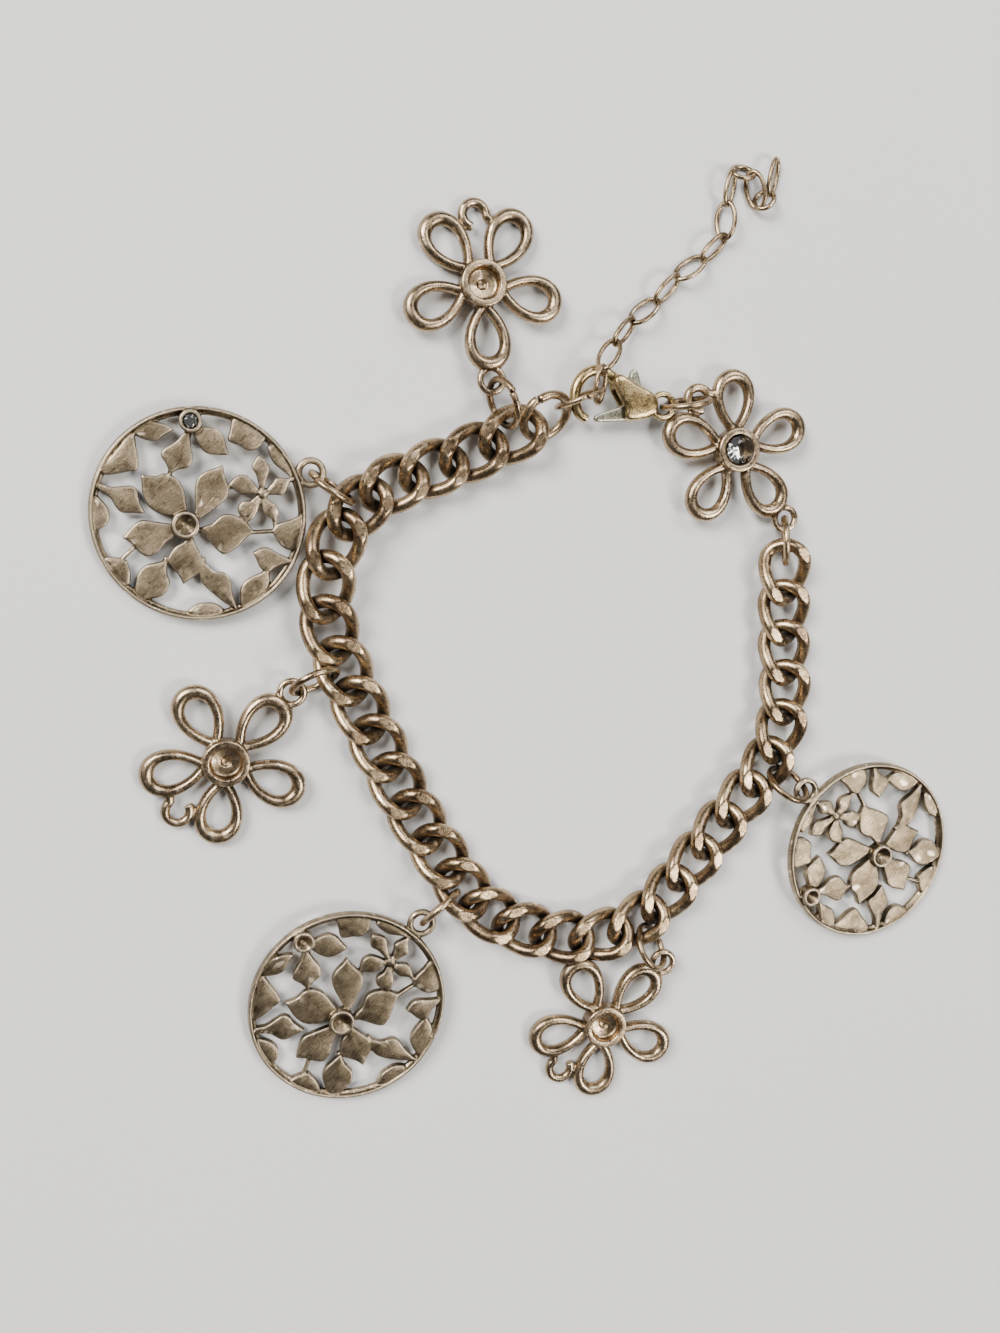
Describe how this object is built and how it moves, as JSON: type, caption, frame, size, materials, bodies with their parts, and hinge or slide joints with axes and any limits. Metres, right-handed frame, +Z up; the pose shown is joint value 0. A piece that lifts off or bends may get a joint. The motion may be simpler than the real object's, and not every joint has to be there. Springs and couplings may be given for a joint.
{
  "type": "charm bracelet",
  "caption": "Closed curb chain bracelet with pierced floral disc charms, open flower charms, a stone-set flower station, a lobster clasp and a fine extender chain, lying flat",
  "frame": {"origin": "on the surface under the middle of the bracelet's outline", "axes": "+Z up from the surface that it lies on, +Y towards the clasp side, +X towards the end with the flower station"},
  "size_m": [0.1008, 0.1094, 0.006],
  "materials": {
    "chain": "antiqued, worn bright on the ground flats",
    "disc": "antiqued, satin, dark in the recesses",
    "charm": "antiqued, polished on the high spots",
    "clasp": "polished, tarnished",
    "lever": "pale plated, polished",
    "fine": "polished, tarnished",
    "stone": "clear, faceted"
  },
  "bodies": {
    "bracelet": {"curb_link_01": "chain", "curb_link_02": "chain", "curb_link_03": "chain", "curb_link_04": "chain", "curb_link_05": "chain", "curb_link_06": "chain", "curb_link_07": "chain", "curb_link_08": "chain", "curb_link_09": "chain", "curb_link_10": "chain", "curb_link_11": "chain", "curb_link_12": "chain", "curb_link_13": "chain", "curb_link_14": "chain", "curb_link_15": "chain", "curb_link_16": "chain", "curb_link_17": "chain", "curb_link_18": "chain", "curb_link_19": "chain", "curb_link_20": "chain", "curb_link_21": "chain", "curb_link_22": "chain", "curb_link_23": "chain", "curb_link_24": "chain", "curb_link_25": "chain", "curb_link_26": "chain", "curb_link_27": "chain", "curb_link_28": "chain", "curb_link_29": "chain", "curb_link_30": "chain", "ring_disc_left": "chain", "ring_disc_low": "chain", "ring_disc_right": "chain", "ring_flower_top": "chain", "ring_flower_left": "chain", "ring_flower_low": "chain", "ring_station": "chain", "ring_clasp_tail": "chain", "ring_clasp_hook": "chain", "ring_chain_end": "chain", "disc_left": "disc", "disc_low": "disc", "disc_right": "disc", "flower_top": "charm", "flower_left": "charm", "flower_low": "charm", "flower_station": "charm", "station_stone": "stone", "rim_stone": "stone", "clasp_body": "clasp", "extender_chain": "fine"},
    "lever": {"clasp_lever": "lever"}
  },
  "joints": [
    {"name": "lever_hinge", "type": "hinge", "parent": "bracelet", "child": "lever", "pos_m": [0.01051, 0.02758, 0.00177], "axis": [0, 0, 1], "range_deg": [-24, 0], "stiffness_Nm_per_rad": 0.002}
  ]
}
